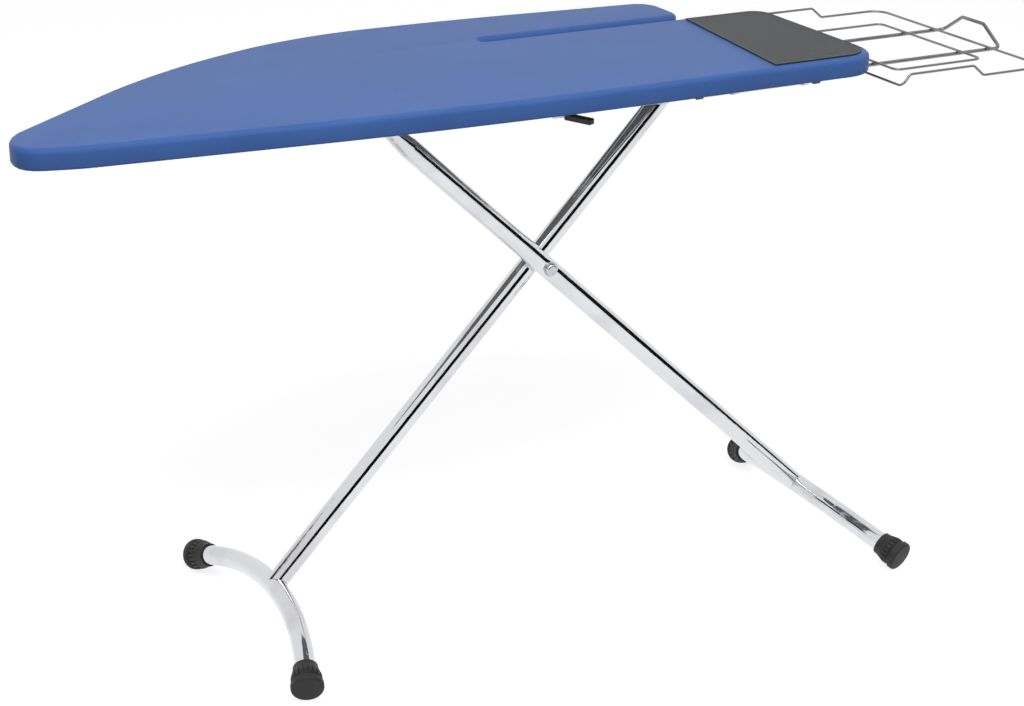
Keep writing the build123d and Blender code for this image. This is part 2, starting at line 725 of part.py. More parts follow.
# ---------------------------------------------------------------- release lever
def lever_bearing(at, name):
    """A plate on the near guide rail with a round eye for the lever's shaft."""
    x = end_x - at
    plate_y = leg_line - rail_outside - bearing_plate / 2
    with BuildPart() as bearing:
        with Locations((x, plate_y, (lever_shaft_z + brace_bottom - 1) / 2)):
            Box(bearing_width, bearing_plate, brace_bottom - 1 - lever_shaft_z)
        with Locations((x, lever_shaft_y, lever_shaft_z)):
            Cylinder(bearing_radius, bearing_length, rotation=(0, 90, 0))
            Cylinder(
                lever_shaft_diameter / 2 + running_gap, 3 * bearing_length,
                rotation=(0, 90, 0), mode=Mode.SUBTRACT,
            )
        with Locations((x, plate_y, guide_screw_z)):
            Cylinder(screw_shank_radius, 4 * bearing_plate, rotation=(90, 0, 0), mode=Mode.SUBTRACT)
    save(bearing.part, name)


lever_bearing(bearings_at[0], "lever_bearing_nose")
lever_bearing(bearings_at[1], "lever_bearing_middle")
lever_bearing(bearings_at[2], "lever_bearing_end")

with BuildPart() as lever_shaft:
    with BuildSketch(Plane.YZ.offset(end_x - lever_shaft_from)):
        with Locations((lever_shaft_y, lever_shaft_z)):
            Circle(lever_shaft_diameter / 2)
    extrude(amount=lever_shaft_from - lever_shaft_to)
    chamfer(lever_shaft.edges(), 1)
save(lever_shaft.part, "lever_shaft")

tooth_tip = bar_z - bar_diameter / 2 - catch_clear
tooth_root = tooth_tip - tooth_height
tooth_pitch = (catch_from - catch_to - tooth_length) / (catch_teeth - 1)
catch_y = leg_line - catch_offset
catch_arm_z = rail_bottom - catch_arm_drop - catch_arm_thickness / 2
catch_arm_start = lever_shaft_y + lever_shaft_diameter / 2
with BuildPart() as catch_comb:
    with BuildSketch(Plane.XZ.offset(-catch_y)):
        with Locations((end_x - (catch_from + catch_to) / 2, tooth_root - catch_depth / 2)):
            Rectangle(catch_from - catch_to, catch_depth)
        with Locations(*[(end_x - catch_from + i * tooth_pitch, tooth_root) for i in range(catch_teeth)]):
            Polygon(
                (0, -1), (tooth_length, -1), (tooth_length, tooth_height), (tooth_length * 0.6, tooth_height),
                align=None,
            )
    extrude(amount=catch_thickness / 2, both=True)
    with Locations(*[(end_x - at, (catch_arm_start + catch_y) / 2, catch_arm_z) for at in catch_arms_at]):
        Box(catch_arm_width, catch_y - catch_arm_start, catch_arm_thickness)
    with Locations(*[(end_x - at, lever_shaft_y, lever_shaft_z) for at in catch_arms_at]):
        Cylinder(shaft_collar_radius, catch_arm_width, rotation=(0, 90, 0))
        Cylinder(lever_shaft_diameter / 2, 3 * catch_arm_width, rotation=(0, 90, 0), mode=Mode.SUBTRACT)
save(catch_comb.part, "catch_comb")

lever_reach = (lever_tip_offset - lever_shaft_offset) / cos(radians(lever_slant))
lever_plane = Plane(
    origin=(lever_x, lever_shaft_y, lever_shaft_z),
    x_dir=(sin(radians(lever_slant)), -cos(radians(lever_slant)), 0),
    z_dir=(0, 0, 1),
)
arm_reach = lever_reach - grip_edge_radius * 2
with BuildPart() as lever_arm:
    with BuildSketch(lever_plane):
        with Locations((arm_reach / 2, 0)):
            Rectangle(arm_reach, lever_arm_width)
    extrude(amount=lever_arm_thickness / 2, both=True)
    with Locations((lever_x, lever_shaft_y, lever_shaft_z)):
        Cylinder(shaft_collar_radius, 2 * lever_arm_width, rotation=(0, 90, 0))
        Cylinder(lever_shaft_diameter / 2, 3 * lever_arm_width, rotation=(0, 90, 0), mode=Mode.SUBTRACT)
save(lever_arm.part, "lever_arm")

with BuildPart() as lever_grip:
    with BuildSketch(lever_plane) as grip_outline:
        with Locations((lever_reach - grip_length / 2, 0)):
            Rectangle(grip_length, grip_width)
        fillet(grip_outline.vertices(), grip_edge_radius)
    extrude(amount=grip_thickness / 2, both=True)
    chamfer(lever_grip.faces().filter_by(Axis.Z).edges(), grip_edge_radius / 2)
    with BuildSketch(lever_plane):
        with Locations((arm_reach / 2, 0)):
            Rectangle(arm_reach, lever_arm_width)
    extrude(amount=lever_arm_thickness / 2, both=True, mode=Mode.SUBTRACT)
save(lever_grip.part, "lever_grip")


# ---------------------------------------------------------------- wire iron rest
def wire(points, radii, radius, name):
    """A wire swept along half of its course and mirrored across the line of the legs."""
    with BuildPart() as rod:
        with BuildLine() as path:
            FilletPolyline(*points, radius=radii)
        with BuildSketch(Plane(origin=path.wire() @ 0, z_dir=path.wire() % 0)):
            Circle(radius)
        sweep(path=path.wire())
        mirror(about=Plane.XZ.offset(-leg_line))
    save(rod.part, name)


stop_x = end_x + rest_rail_reach
wire(
    [
        (end_x - rest_rail_inside, leg_line - rest_rail_half, rest_rail_z),
        (stop_x, leg_line - rest_rail_half, rest_rail_z),
        (stop_x, leg_line - rest_stop_half, rest_rail_z + rest_stop_height),
        (stop_x, leg_line, rest_rail_z + rest_stop_height),
    ],
    wire_bend, rail_wire / 2, "rest_rails",
)
tray_near = leg_line - tray_half
wire(
    [
        (end_x - tray_start, leg_line, thin_wire_z),
        (end_x - tray_start, tray_near, thin_wire_z),
        (end_x + guard_start, tray_near, thin_wire_z + guard_rise),
        (end_x + guard_stop, tray_near, thin_wire_z + guard_rise),
        (end_x + guard_end, tray_near, thin_wire_z),
        (end_x + tray_reach, tray_near, thin_wire_z),
        (end_x + tray_reach, leg_line, thin_wire_z),
    ],
    [wire_bend, wire_bend, wire_bend, wire_bend, tray_corner_radius], thin_wire / 2, "rest_tray_wire",
)
wire(
    [
        (end_x + inner_start, leg_line, thin_wire_z),
        (end_x + inner_start, leg_line - inner_half, thin_wire_z),
        (end_x + inner_reach, leg_line - inner_half, thin_wire_z),
        (end_x + inner_reach, leg_line, thin_wire_z),
    ],
    inner_corner_radius, thin_wire / 2, "rest_inner_frame",
)
with BuildPart() as rest_stop_collars:
    with Locations(*[(end_x - collar_at, leg_line + side * rest_rail_half, rest_rail_z) for side in (-1, 1)]):
        Cylinder(collar_radius, collar_length, rotation=(0, 90, 0))
        Cylinder(rail_wire / 2, 2 * collar_length, rotation=(0, 90, 0), mode=Mode.SUBTRACT)
save(rest_stop_collars.part, "rest_stop_collars")

print("overall", overall_length, "leg line", leg_line, "end x", end_x)
print("hinge", hinge_x, hinge_z, "pivot", pivot_x, pivot_z, "bar", bar_x, bar_z)
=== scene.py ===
# %% [markdown]
# # A folding ironing board
# The object is a long board with a blue cotton cover, a slot and a sleeve board along its far side, a
# dark heat-proof pad and a wire rest at its wide end, and two crossed chrome legs on curved foot bars.
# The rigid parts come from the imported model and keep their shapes. This file gives every part its
# finish, sews the soft parts, and sets up the studio.

# %% Load the rigid model
import bpy
import math
from mathutils import Matrix, Vector


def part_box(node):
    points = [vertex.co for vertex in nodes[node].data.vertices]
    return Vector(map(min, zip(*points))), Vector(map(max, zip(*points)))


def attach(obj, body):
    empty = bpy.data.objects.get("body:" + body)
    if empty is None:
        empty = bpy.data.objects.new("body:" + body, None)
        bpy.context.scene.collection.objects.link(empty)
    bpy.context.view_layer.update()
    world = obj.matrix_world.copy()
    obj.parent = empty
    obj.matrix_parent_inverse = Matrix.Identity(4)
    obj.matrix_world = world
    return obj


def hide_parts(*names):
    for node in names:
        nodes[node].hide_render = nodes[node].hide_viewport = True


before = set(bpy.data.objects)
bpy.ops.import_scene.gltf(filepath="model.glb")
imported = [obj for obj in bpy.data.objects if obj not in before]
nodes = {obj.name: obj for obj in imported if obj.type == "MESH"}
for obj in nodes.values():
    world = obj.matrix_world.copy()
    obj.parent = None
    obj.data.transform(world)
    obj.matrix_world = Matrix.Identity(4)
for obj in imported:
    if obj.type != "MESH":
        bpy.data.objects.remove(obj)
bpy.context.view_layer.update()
bpy.ops.object.select_all(action="DESELECT")

# %% [markdown]
# ## The camera
# A long lens from a little above the board, turned so that the nose points left and the iron rest
# points away to the right. The camera's three axes are written out from its turn, tilt and roll,
# which keeps each of them readable and lets one be changed without the others.

# %% Place the camera
turn = math.radians(27.2655)
tilt = math.radians(21.6174)
roll = math.radians(0.3073)
forward = Vector((math.sin(turn) * math.cos(tilt), math.cos(turn) * math.cos(tilt), -math.sin(tilt)))
level = Vector((math.cos(turn), -math.sin(turn), 0))
upward = level.cross(forward)
right = level * math.cos(roll) + upward * math.sin(roll)
above = upward * math.cos(roll) - level * math.sin(roll)

bpy.ops.object.camera_add()
camera = bpy.context.object
camera.name = "studio_camera"
camera.data.sensor_width = 36
camera.data.lens = 77.491
camera.data.clip_end = 60
stand = Vector((-1.51353, -2.88831, 1.66712))
camera.matrix_world = Matrix((
    (right.x, above.x, -forward.x, stand.x),
    (right.y, above.y, -forward.y, stand.y),
    (right.z, above.z, -forward.z, stand.z),
    (0, 0, 0, 1),
))
bpy.context.scene.camera = camera
bpy.context.scene.view_settings.view_transform = "Standard"
print("camera looks along", [round(v, 3) for v in forward])

# %% [markdown]
# ## Materials made of nodes
# A material here is a small graph of nodes. Writing each link by hand hides the idea behind it, so two
# helpers come first. `make_node` adds one node with its settings and inputs. `Signal` wraps a socket, so
# that a pattern can be written as a sum or a product, as one would on paper.

# %% A helper for nodes and one for sums of sockets
class Signal:
    """One output socket, with the operators of arithmetic."""

    def __init__(self, tree, socket):
        self.tree = tree
        self.socket = socket

    def math(self, operation, *others):
        return make_node(self.tree, "ShaderNodeMath", {"operation": operation}, [self, *others])

    def __add__(self, other):
        return self.math("ADD", other)

    def __sub__(self, other):
        return self.math("SUBTRACT", other)

    def __mul__(self, other):
        return self.math("MULTIPLY", other)

    def sine(self):
        return self.math("SINE")

    def over(self, low, high):
        """0 up to low, 1 from high, and a smooth ramp between them."""
        settings = {"interpolation_type": "SMOOTHSTEP"}
        inputs = {"Value": self, "From Min": low, "From Max": high}
        return make_node(self.tree, "ShaderNodeMapRange", settings, inputs)

    def colours(self, first, second):
        """first where the signal is 0 and second where it is 1."""
        inputs = {0: self, 6: first, 7: second}
        return make_node(self.tree, "ShaderNodeMix", {"data_type": "RGBA"}, inputs, 2)


def make_node(tree, kind, settings=None, inputs=None, output=0):
    """Add a node, set its settings, plug or set its inputs, and hand back one output as a Signal."""
    node = tree.nodes.new(kind)
    for name, value in (settings or {}).items():
        setattr(node, name, value)
    pairs = enumerate(inputs) if isinstance(inputs, list) else (inputs or {}).items()
    for name, value in pairs:
        if isinstance(value, Signal):
            tree.links.new(value.socket, node.inputs[name])
        else:
            node.inputs[name].default_value = value
    return Signal(tree, node.outputs[output])


def colour(red, green, blue):
    """A colour as a screen shows it, 0 to 255, turned into the linear values that light uses."""
    return tuple((v / 255) ** 2.2 for v in (red, green, blue)) + (1,)


def new_material(name):
    material = bpy.data.materials.new(name)
    material.use_nodes = True
    tree = material.node_tree
    return material, tree, tree.nodes["Principled BSDF"]


def plug(tree, signal, socket):
    tree.links.new(signal.socket, socket)


def bump(tree, height, distance, strength=1.0):
    """Turn a height pattern into tilted normals. distance is the height in metres at 1."""
    inputs = {"Strength": strength, "Distance": distance, "Height": height}
    return make_node(tree, "ShaderNodeBump", None, inputs)


def noise(tree, place, scale, detail=2.0):
    return make_node(tree, "ShaderNodeTexNoise", None, {"Vector": place, "Scale": scale, "Detail": detail})


def stretched_noise(tree, place, scales, detail):
    """Noise whose grain is drawn out: the larger a scale, the finer the grain along that axis."""
    stretched = make_node(tree, "ShaderNodeMapping", None, {"Vector": place, "Scale": scales})
    return noise(tree, stretched, 1.0, detail)


def object_place(tree):
    return make_node(tree, "ShaderNodeTexCoord", None, None, 3)


print("helpers ready")

# %% [markdown]
# ## Chrome plate
# Polished chrome has hardly any colour of its own: it shows the studio. What makes it believable is
# what polishing and handling leave behind, which are faint long waves in the tube wall and a haze of
# fingerprints. A slow noise sets the haze in the roughness, and a fine one ripples the normals a little.

# %% Chrome for the legs and the wires
def chrome_plate(name, wave_height, light, dark):
    material, tree, shader = new_material(name)
    place = object_place(tree)
    haze = noise(tree, place, 14, 4).over(0.42, 0.7)
    shader.inputs["Metallic"].default_value = 1.0
    plug(tree, haze.colours(light, dark), shader.inputs["Base Color"])
    plug(tree, haze * 0.05 + 0.07, shader.inputs["Roughness"])
    ripple = noise(tree, place, 55, 1)
    plug(tree, bump(tree, ripple, wave_height), shader.inputs["Normal"])
    return material


leg_chrome = chrome_plate("leg_chrome", 0.0002, colour(214, 215, 218), colour(202, 202, 206))
wire_chrome = chrome_plate("wire_chrome", 0.00005, colour(132, 133, 137), colour(112, 112, 116))
print("chrome:", leg_chrome.name, wire_chrome.name)

# %% [markdown]
# ## Zinc-plated steel
# The hinge, the rails, the catch and the screws are pressed and turned steel with a thin coat of zinc.
# Zinc freezes into faint crystals, so a cell pattern varies its brightness and roughness slightly.

# %% Zinc for the ironmongery
def zinc_plate():
    material, tree, shader = new_material("zinc_plate")
    place = object_place(tree)
    cells = make_node(tree, "ShaderNodeTexVoronoi", None, {"Vector": place, "Scale": 240.0}, 1)
    grey = make_node(tree, "ShaderNodeRGBToBW", None, [cells])
    wear = noise(tree, place, 60, 6).over(0.45, 0.75)
    shader.inputs["Metallic"].default_value = 1.0
    plug(tree, grey.colours(colour(188, 190, 194), colour(206, 207, 210)), shader.inputs["Base Color"])
    plug(tree, grey * 0.12 + wear * 0.12 + 0.24, shader.inputs["Roughness"])
    plug(tree, bump(tree, wear, 0.00003), shader.inputs["Normal"])
    return material


zinc = zinc_plate()
print("zinc:", zinc.name)

# %% [markdown]
# ## Powder-coated steel
# The rim, the mesh and the braces carry a baked powder coat, which dries to a fine orange peel. It is
# light grey, its tone drifting a little in broad clouds.

# %% Powder coat for the steel top
def powder_coat():
    material, tree, shader = new_material("powder_coat")
    place = object_place(tree)
    peel = noise(tree, place, 900, 2)
    cloud = noise(tree, place, 9, 3)
    plug(tree, cloud.colours(colour(196, 199, 204), colour(214, 216, 219)), shader.inputs["Base Color"])
    plug(tree, peel * 0.15 + 0.33, shader.inputs["Roughness"])
    plug(tree, bump(tree, peel, 0.00004), shader.inputs["Normal"])
    return material


powder = powder_coat()
print("powder coat:", powder.name)

# %% [markdown]
# ## Rubber and moulded plastic
# The foot caps are black rubber, dull, with grey dust in their grain. The lever's grip, the bearings
# and the guide blocks are harder black plastic with a fine moulded grain, and the glides are white.

# %% Rubber and plastics
def moulded(name, dark, light, dull, grain, depth):
    material, tree, shader = new_material(name)
    place = object_place(tree)
    pits = make_node(tree, "ShaderNodeTexVoronoi", None, {"Vector": place, "Scale": grain})
    dust = noise(tree, place, 38, 6).over(0.4, 0.72)
    plug(tree, dust.colours(dark, light), shader.inputs["Base Color"])
    plug(tree, dust * 0.14 + dull, shader.inputs["Roughness"])
    plug(tree, bump(tree, pits, depth), shader.inputs["Normal"])
    return material


cap_rubber = moulded("cap_rubber", colour(34, 34, 35), colour(50, 50, 50), 0.55, 900.0, 0.00008)
black_plastic = moulded("black_plastic", colour(30, 30, 32), colour(38, 38, 40), 0.38, 1400.0, 0.00004)
white_plastic = moulded("white_plastic", colour(222, 221, 216), colour(206, 205, 199), 0.36, 1400.0, 0.00003)
print("moulded:", cap_rubber.name, black_plastic.name, white_plastic.name)

# %% [markdown]
# ## Who wears which finish
# Each rigid part keeps its own object and only gets a better material in its slots.

# %% Give the rigid parts their finishes
finishes = {
    leg_chrome: ["hinged_leg_tube", "hinged_leg_foot_bar", "sliding_leg_tube", "sliding_leg_foot_bar"],
    wire_chrome: ["rest_rails", "rest_tray_wire", "rest_inner_frame"],
    powder: ["board_rim", "board_mesh", "nose_brace", "hinge_brace", "middle_brace", "end_brace", "sleeve_brace"],
    cap_rubber: ["hinged_leg_cap_near", "hinged_leg_cap_far", "sliding_leg_cap_near", "sliding_leg_cap_far"],
    black_plastic: [
        "lever_grip", "lever_bearing_nose", "lever_bearing_middle", "lever_bearing_end", "sliding_leg_plug",
        "rest_guide_near_inner", "rest_guide_near_outer", "rest_guide_far_inner", "rest_guide_far_outer",
    ],
    white_plastic: ["glide_near", "glide_far", "pivot_spacer"],
}
finished = [name for names in finishes.values() for name in names]
soft = ["board_cover", "felt_underlay", "iron_rest_pad"]
finishes[zinc] = [name for name in nodes if name not in finished and name not in soft]
for material, names in finishes.items():
    for name in names:
        nodes[name].data.materials.clear()
        nodes[name].data.materials.append(material)
print("zinc parts:", len(finishes[zinc]))

# %% [markdown]
# ## The cotton cover's cloth
# A cover like this is plain-woven cotton, dyed one blue. The threads are about half a millimetre apart.
# Two sine waves at right angles give them: where the first is high a warp thread is on top, where the
# second is high a weft thread is. Slubs make a few threads thicker, and use has faded the cloth in
# slow clouds. The pattern reads the piece's own UV map, which is laid out in metres, so the threads keep
# their size round the edge and down the side.

# %% Woven cloth
def woven(name, deep, pale, pitch, slack, relief, sheen):
    material, tree, shader = new_material(name)
    laid = make_node(tree, "ShaderNodeTexCoord", None, None, 2)
    split = make_node(tree, "ShaderNodeSeparateXYZ", None, [laid])
    across = Signal(tree, split.socket.node.outputs[1])
    drift = noise(tree, laid, 45, 2) * 0.0016
    turns = 2 * math.pi / pitch
    warp = ((split + drift) * turns).sine()
    weft = ((across + drift) * turns).sine()
    weave = (warp * weft).over(-1.0, 1.0)
    slub = stretched_noise(tree, laid, (30, 900, 1), 2)
    cloud = noise(tree, laid, 6, 4)
    tone = weave * 0.32 + slub * 0.22 + cloud.over(0.3, 0.7) * 0.46
    plug(tree, tone.colours(deep, pale), shader.inputs["Base Color"])
    plug(tree, cloud * 0.08 + 0.36, shader.inputs["Roughness"])
    folds = stretched_noise(tree, laid, slack, 3)
    height = weave * 0.12 + slub * 0.1 + folds * relief
    plug(tree, bump(tree, height, 0.001), shader.inputs["Normal"])
    shader.inputs["Sheen Weight"].default_value = sheen
    shader.inputs["Sheen Roughness"].default_value = 0.45
    shader.inputs["Specular IOR Level"].default_value = 0.1
    return material


cover_cloth = woven("cover_cloth", colour(74, 112, 184), colour(84, 124, 197), 0.0011, (7, 16, 1), 0.9, 0.03)
pad_cloth = woven("pad_cloth", colour(46, 50, 53), colour(60, 64, 67), 0.0016, (9, 9, 1), 0.4, 0.02)
print("cloths:", cover_cloth.name, pad_cloth.name)

# %% [markdown]
# ## Felt
# The underlay is pressed needle felt, so it has no threads but short fibres that lie every way. Two
# stretched noises crossing each other read as fibres.

# %% Felt
def needle_felt():
    material, tree, shader = new_material("needle_felt")
    place = object_place(tree)
    fibres = stretched_noise(tree, place, (240, 900, 900), 4) * stretched_noise(tree, place, (900, 240, 900), 4)
    tone = fibres.over(0.1, 0.45).colours(colour(176, 172, 164), colour(212, 209, 202))
    plug(tree, tone, shader.inputs["Base Color"])
    plug(tree, fibres * 0.2 + 0.8, shader.inputs["Roughness"])
    plug(tree, bump(tree, fibres, 0.0006), shader.inputs["Normal"])
    shader.inputs["Specular IOR Level"].default_value = 0.1
    return material


felt = needle_felt()
print("felt:", felt.name)

# %% [markdown]
# ## The board's outline
# The cover, the felt and the pad share one outline. It is drawn as a maker would mark a sheet: a plane
# is laid down, trimmed along straight lines with bisect, and its corners are rounded by beveling single
# points. The slot is the strip between two such cuts, deleted. Every soft piece starts from a copy.
# A beveled point is a quarter circle pulled flat, which lies inside the true arc where the edge turns
# only a little. The bevel's profile is worked out from the turn, so that it meets the arc's middle.

# %% Measures of the outline
board_low, board_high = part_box("board_rim")
cloth_gap = 0.0018
crest = 0.337
end_x = board_high.x + cloth_gap
nose_x = board_low.x - cloth_gap
line_y = board_high.y + cloth_gap - crest
cloth_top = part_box("board_cover")[1].z
cloth_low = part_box("board_cover")[0].z
print("wide end, nose, line of the legs, top:", [round(v, 4) for v in (end_x, nose_x, line_y, cloth_top)])

# %% [markdown]
# The corners are written as a place along the board, a place across it from the line of the legs, and
# how far back from the corner its rounding begins, which is what a beveled point asks for.

# %% Corner points and how round each one is
corners = [
    (nose_x, -0.100, 0.0290), (nose_x + 0.076, -0.121, 0.0221), (nose_x + 0.646, -0.174, 0.2805),
    (end_x, -0.170, 0.0597), (end_x, 0.174, 0.0400), (end_x - 0.520, 0.174, 0.0109),
    (end_x - 0.520, 0.196, 0.0109), (end_x - 0.142, 0.196, 0.0250), (end_x - 0.142, 0.305, 0.0367),
    (end_x - 0.517, 0.337, 0.1284), (nose_x + 0.554, 0.337, 0.1284), (nose_x + 0.287, 0.218, 0.1432),
    (nose_x, -0.029, 0.0344),
]
outline = [Vector((x, line_y + y)) for x, y, _ in corners]
rounding = [reach for _, _, reach in corners]
print("corners:", len(outline))

# %% [markdown]
# Work in edit mode is picking and then doing. These helpers pick by where a point, an edge or a face
# lies, as a hand would with a box, so that the same steps still work if a size changes.

# %% Edit-mode helpers
def start_piece(name):
    """Name the new object, settle its place in its mesh and go into edit mode."""
    piece = bpy.context.object
    piece.name = name
    piece.data.name = name
    bpy.ops.object.transform_apply(location=True, rotation=True, scale=True)
    bpy.ops.object.mode_set(mode="EDIT")
    return piece


def pick(piece, kind, test):
    """Select the vertices, edges or faces of piece that pass a test of their middle and direction."""
    bpy.ops.object.mode_set(mode="EDIT")
    bpy.ops.mesh.select_mode(type=kind)
    bpy.ops.mesh.select_all(action="DESELECT")
    bpy.ops.object.mode_set(mode="OBJECT")
    mesh = piece.data
    if kind == "VERT":
        for vertex in mesh.vertices:
            vertex.select = test(vertex.co, vertex.normal)
    elif kind == "EDGE":
        for edge in mesh.edges:
            a, b = (mesh.vertices[i].co for i in edge.vertices)
            edge.select = test((a + b) / 2, b - a)
    else:
        for face in mesh.polygons:
            face.select = test(face.center, face.normal)
    bpy.ops.object.mode_set(mode="EDIT")


def keep_largest(piece, level_only):
    """Select every face but the largest, or but the largest level one, and hand back its index."""
    bpy.ops.object.mode_set(mode="EDIT")
    bpy.ops.mesh.select_mode(type="FACE")
    bpy.ops.mesh.select_all(action="DESELECT")
    bpy.ops.object.mode_set(mode="OBJECT")
    faces = piece.data.polygons
    allowed = [face for face in faces if not level_only or face.normal.z > 0.9]
    largest = max(allowed, key=lambda face: face.area)
    for face in faces:
        face.select = face.index != largest.index
    return largest.index


def round_edges(offset, steps):
    """Bevel the selected edges to a round of that size."""
    bpy.ops.mesh.bevel(
        offset=offset, offset_type="OFFSET", affect="EDGES", segments=steps, profile=0.5, clamp_overlap=False
    )


def leave(piece):
    """Go back to object mode with nothing selected."""
    bpy.ops.object.mode_set(mode="OBJECT")
    bpy.ops.object.select_all(action="DESELECT")
    return piece


def cut_line(first, second, drop_right):
    """Cut the sheet along the line from first to second, and drop what lies to its right if asked."""
    along = second - first
    bpy.ops.mesh.select_all(action="SELECT")
    bpy.ops.mesh.bisect(
        plane_co=(first.x, first.y, 0), plane_no=(along.y, -along.x, 0), clear_outer=drop_right
    )


print("edit helpers ready")

# %% [markdown]
# One function lays out the sheet for all three soft pieces. The long edges are split afterwards where a
# piece needs more points, because a cloth with points only at its corners can't be gathered or bent.

# %% Lay out one sheet in the board's outline
def board_sheet(name, height):
    """A flat sheet of one face in the board's outline, its corners rounded."""
    middle = (outline[0] + outline[4]) / 2
    bpy.ops.mesh.primitive_plane_add(size=3, location=(middle.x, middle.y, height))
    piece = start_piece(name)
    for i in (0, 1, 2, 3, 8, 9, 10, 11, 12):
        cut_line(outline[i], outline[(i + 1) % 13], True)
    for i in (4, 5, 6, 7):
        cut_line(outline[i], outline[i + 1], False)
    slot_low, slot_high = outline[5].y, outline[6].y

    def open_space(place, normal):
        in_slot = place.x > outline[5].x and slot_low < place.y < slot_high
        past_tip = place.x > outline[7].x and place.y > slot_low
        return in_slot or past_tip

    pick(piece, "FACE", open_space)
    bpy.ops.mesh.delete(type="FACE")
    bpy.ops.mesh.select_all(action="SELECT")
    bpy.ops.mesh.dissolve_faces()
    bpy.ops.mesh.select_all(action="SELECT")
    bpy.ops.mesh.dissolve_limited(angle_limit=math.radians(0.1))
    for i, (corner, reach) in enumerate(zip(outline, rounding)):
        pick(piece, "VERT", lambda p, n: (p.xy - corner).length < 0.0005)
        steps = max(4, int(reach / 0.006))
        turn_here = (corner - outline[i - 1]).angle(outline[(i + 1) % 13] - corner)
        round_profile = (1 - 0.5 / (1 + math.cos(turn_here / 2))) ** 2
        bpy.ops.mesh.bevel(offset=reach, affect="VERTICES", segments=steps, profile=round_profile)
    return piece


def split_long_edges(piece, longest):
    """Halve the edges that are too long until none is."""

    def too_long(edge):
        first, second = (piece.data.vertices[i].co for i in edge.vertices)
        return (first - second).length > longest

    while any(too_long(edge) for edge in piece.data.edges):
        pick(piece, "EDGE", lambda p, d: d.length > longest)
        bpy.ops.mesh.subdivide(number_cuts=1, ngon=True)
        bpy.ops.object.mode_set(mode="OBJECT")
    bpy.ops.object.mode_set(mode="EDIT")


print("sheet helper ready")

# %% [markdown]
# ## The cover
# The cover is one piece of cotton pulled tight over the felt and the rim and drawn in underneath, so it
# is flat on top, round along the edge and gathered where its hem turns under. The sheet is extruded down
# to make the side, the bottom is inset to make the turned-in hem and opened, the two edges are beveled,
# and the hem is then drawn into shallow gathers.

# %% Sew the cover
longest_edge = 0.011
hem_width = 0.015
level = 0.0001
cover = board_sheet("ironing_cover", cloth_top)
bpy.ops.object.mode_set(mode="OBJECT")
split_long_edges(cover, longest_edge)
bpy.ops.mesh.select_all(action="SELECT")
bpy.ops.mesh.extrude_region_move(TRANSFORM_OT_translate={"value": (0, 0, cloth_low - cloth_top)})
bpy.ops.mesh.select_all(action="SELECT")
bpy.ops.mesh.normals_make_consistent(inside=False)
pick(cover, "FACE", lambda p, n: n.z < -0.9)
bpy.ops.mesh.inset(thickness=hem_width)
bpy.ops.mesh.delete(type="FACE")
pick(cover, "EDGE", lambda p, d: p.z > cloth_top - level and abs(d.z) < level)
round_edges(0.0085, 6)
pick(cover, "EDGE", lambda p, d: p.z < cloth_low + level and abs(d.z) < level)
round_edges(0.004, 3)
bpy.ops.mesh.select_all(action="SELECT")
bpy.ops.uv.cube_project(cube_size=1.0)
leave(cover)
print("cover faces:", len(cover.data.polygons))

# %% [markdown]
# A drawstring runs in the hem, so the cloth between two of its stitches rises and falls. The points of
# the turned-in hem are moved up by a wave that runs along the board's edge; the side stays straight.

# %% Gather the hem, thicken the cloth, give it its material and fix it to the board
gather = 0.0006
for vertex in cover.data.vertices:
    point = vertex.co
    if point.z < cloth_low + level:
        wave = math.sin(point.x * 310) * math.sin(point.y * 290 + 1)
        point.z += gather + gather * wave


def finish_cloth(piece, material, thickness):
    """Smooth the faces, thicken the cloth inwards and give it its material."""
    bpy.ops.object.select_all(action="DESELECT")
    bpy.context.view_layer.objects.active = piece
    piece.select_set(True)
    bpy.ops.object.shade_smooth()
    if thickness:
        bpy.ops.object.modifier_add(type="SOLIDIFY")
        piece.modifiers[-1].thickness = thickness
        piece.modifiers[-1].offset = -1
    piece.data.materials.append(material)
    bpy.ops.object.select_all(action="DESELECT")


finish_cloth(cover, cover_cloth, 0.0012)
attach(cover, "board")
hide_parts("board_cover")

# %% [markdown]
# ## The felt under the cover
# The underlay is cut 2 mm inside the cover, 8 mm thick, with its upper edge pressed round by the cloth.
# It is the board's outline drawn down from just under the cover and rounded by one bevel.

# %% Cut the felt
felt_low, felt_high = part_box("felt_underlay")
underlay = board_sheet("ironing_felt", felt_high.z)
bpy.ops.mesh.select_all(action="SELECT")
bpy.ops.mesh.inset(thickness=cloth_gap)
keep_largest(underlay, False)
bpy.ops.object.mode_set(mode="EDIT")
bpy.ops.mesh.delete(type="FACE")
bpy.ops.mesh.select_all(action="SELECT")
bpy.ops.mesh.extrude_region_move(TRANSFORM_OT_translate={"value": (0, 0, felt_low.z - felt_high.z)})
bpy.ops.mesh.select_all(action="SELECT")
bpy.ops.mesh.normals_make_consistent(inside=False)
pick(underlay, "EDGE", lambda p, d: p.z > felt_high.z - level and abs(d.z) < level)
round_edges(0.005, 4)
leave(underlay)
finish_cloth(underlay, felt, 0)
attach(underlay, "board")
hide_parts("felt_underlay")
print("felt faces:", len(underlay.data.polygons))

# %% [markdown]
# ## The heat-proof pad
# Where the hot iron is set down, a darker patch of silicone cloth is sewn on the cover. It is cut from
# the same outline: one slanted cut across the board, one cut along the slot, and an inset that leaves a
# strip of blue along the edges. A second, narrow inset is the bound edge, which stands up a little.

